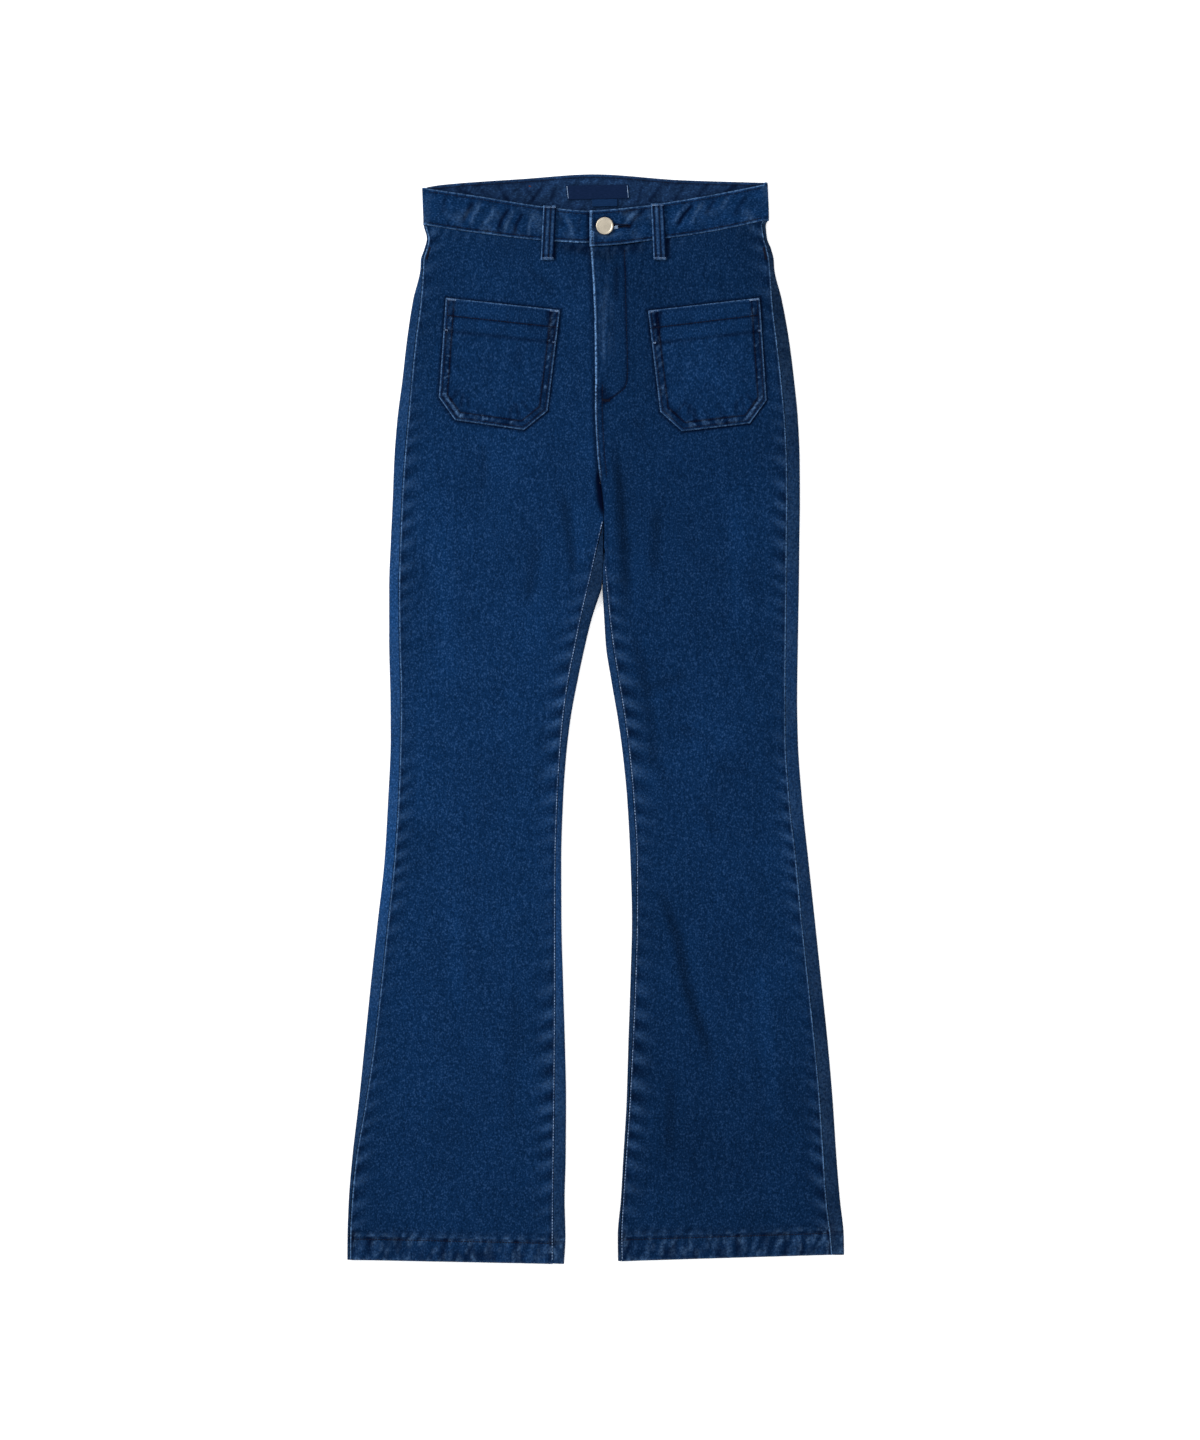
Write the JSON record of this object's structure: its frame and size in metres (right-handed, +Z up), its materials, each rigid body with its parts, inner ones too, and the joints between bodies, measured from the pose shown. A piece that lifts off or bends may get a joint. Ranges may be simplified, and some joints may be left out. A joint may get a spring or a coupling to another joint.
{
  "type": "bootcut jeans",
  "caption": "Denim trousers lying flat, front up: high waistband with button and belt loops, patch pockets on the front, legs that widen from the knee to a turned-up hem.",
  "frame": {"origin": "middle of the flat underside, on the surface that the jeans lie on", "axes": "+Y from the hems to the waist, +X to the viewer's right (the wearer's left), +Z up, out of the front"},
  "size_m": [0.487, 1.068, 0.0104],
  "materials": {
    "denim": "dark indigo stretch denim, fine twill, pale wear on its edges",
    "band_denim": "the same denim, doubled and topstitched",
    "pocket_denim": "the same denim, with pale folded edges",
    "button_metal": "pale satin metal",
    "label_weave": "dense dark navy satin weave, blank"
  },
  "bodies": {
    "root": {"front_panel_left": "denim", "front_panel_right": "denim", "back_panel_left": "denim", "back_panel_right": "denim", "waistband": "band_denim", "pocket_left": "pocket_denim", "pocket_right": "pocket_denim", "belt_loop_left": "band_denim", "belt_loop_right": "band_denim", "button": "button_metal", "label": "label_weave", "size_tab": "label_weave"}
  },
  "joints": []
}
